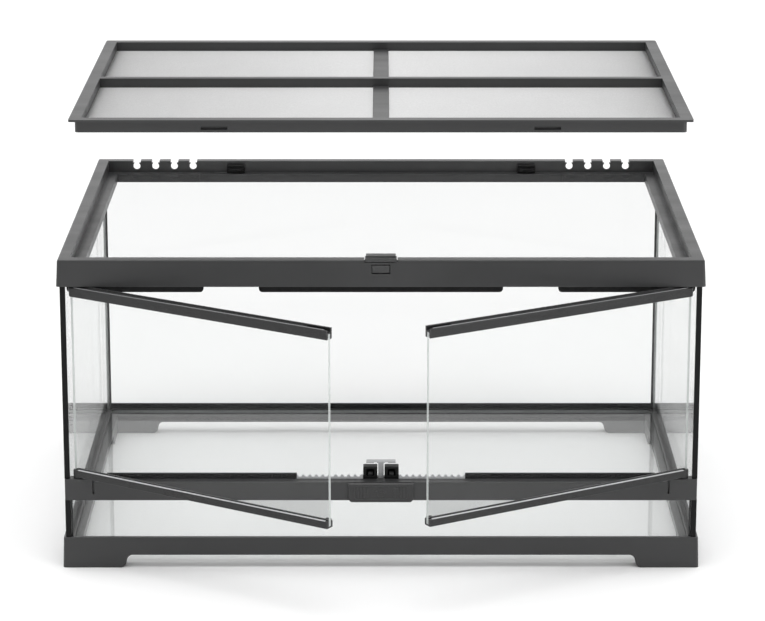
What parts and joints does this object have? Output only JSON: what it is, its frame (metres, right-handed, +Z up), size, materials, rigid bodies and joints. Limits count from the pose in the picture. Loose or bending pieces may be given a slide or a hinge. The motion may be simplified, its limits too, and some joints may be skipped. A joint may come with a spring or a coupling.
{
  "type": "glass small pet cage",
  "caption": "Glass small-pet cage on a footed base with two hinged front doors, a lift-off mesh lid, cable inlets and a finger latch.",
  "frame": {"origin": "on the floor under the centre of the tank's footprint", "axes": "+Z up, +X to the right seen from the front, -Y towards the doors"},
  "size_m": [0.61, 0.6089, 0.4345],
  "materials": {
    "frame_plastic": "fine grained satin",
    "lid_plastic": "fine grained satin",
    "dark_plastic": "matt",
    "comb_plastic": "satin",
    "grey_plastic": "satin",
    "plate_plastic": "satin",
    "clip_plastic": "satin",
    "clear_glass": "polished",
    "silicone": "smooth",
    "wire_mesh": "fine woven wire",
    "spring_steel": "drawn wire"
  },
  "bodies": {
    "tank": {"base_frame": "frame_plastic", "floor_pane": "clear_glass", "front_lower_pane": "clear_glass", "rear_pane": "clear_glass", "left_pane": "clear_glass", "right_pane": "clear_glass", "left_rear_bead": "silicone", "right_rear_bead": "silicone", "left_front_bead": "silicone", "right_front_bead": "silicone", "floor_bead": "silicone", "left_upper_trim": "dark_plastic", "right_upper_trim": "dark_plastic", "left_lower_trim": "dark_plastic", "right_lower_trim": "dark_plastic", "top_frame": "frame_plastic", "left_rear_tab": "dark_plastic", "right_rear_tab": "dark_plastic", "left_inlet_strip": "frame_plastic", "right_inlet_strip": "frame_plastic", "mid_rail": "frame_plastic", "left_vent_strip": "dark_plastic", "right_vent_strip": "dark_plastic", "left_catch_housing": "dark_plastic", "right_catch_housing": "dark_plastic", "latch_spring": "spring_steel", "left_door_stop": "dark_plastic", "middle_door_stop": "dark_plastic", "right_door_stop": "dark_plastic", "left_rail_comb": "comb_plastic", "right_rail_comb": "comb_plastic"},
    "left_door": {"left_door_bottom_rail": "frame_plastic", "left_door_top_rail": "frame_plastic", "left_door_glass": "clear_glass", "left_door_strike": "dark_plastic"},
    "right_door": {"right_door_bottom_rail": "frame_plastic", "right_door_top_rail": "frame_plastic", "right_door_glass": "clear_glass", "right_door_strike": "dark_plastic"},
    "lid": {"lid_frame": "lid_plastic", "lid_strip_front": "lid_plastic", "lid_strip_rear": "lid_plastic", "lid_mesh_front": "wire_mesh", "lid_mesh_rear": "wire_mesh"},
    "clip": {"lid_clip": "clip_plastic"},
    "latch": {"latch_slider": "frame_plastic", "latch_bar": "grey_plastic", "latch_plate": "plate_plastic"}
  },
  "joints": [
    {"name": "left_door_hinge", "type": "hinge", "parent": "tank", "child": "left_door", "pos_m": [-0.289, -0.222, 0.09], "axis": [0, 0, -1], "range_deg": [-32.5, 80.5]},
    {"name": "right_door_hinge", "type": "hinge", "parent": "tank", "child": "right_door", "pos_m": [0.289, -0.222, 0.09], "axis": [0, 0, 1], "range_deg": [-31, 82]},
    {"name": "lid_lift", "type": "slide", "parent": "tank", "child": "lid", "axis": [0, 0, 1], "range_m": [-0.13, 0.05]},
    {"name": "clip_rock", "type": "hinge", "parent": "tank", "child": "clip", "pos_m": [0, -0.2235, 0.297], "axis": [1, 0, 0], "range_deg": [0, 14], "stiffness_Nm_per_rad": 0.05, "springref_deg": -5.73},
    {"name": "latch_pull", "type": "slide", "parent": "tank", "child": "latch", "axis": [0, 0, -1], "range_m": [0, 0.003], "stiffness_N_per_m": 300, "springref_m": -0.002, "deforming": ["latch_spring"]}
  ]
}
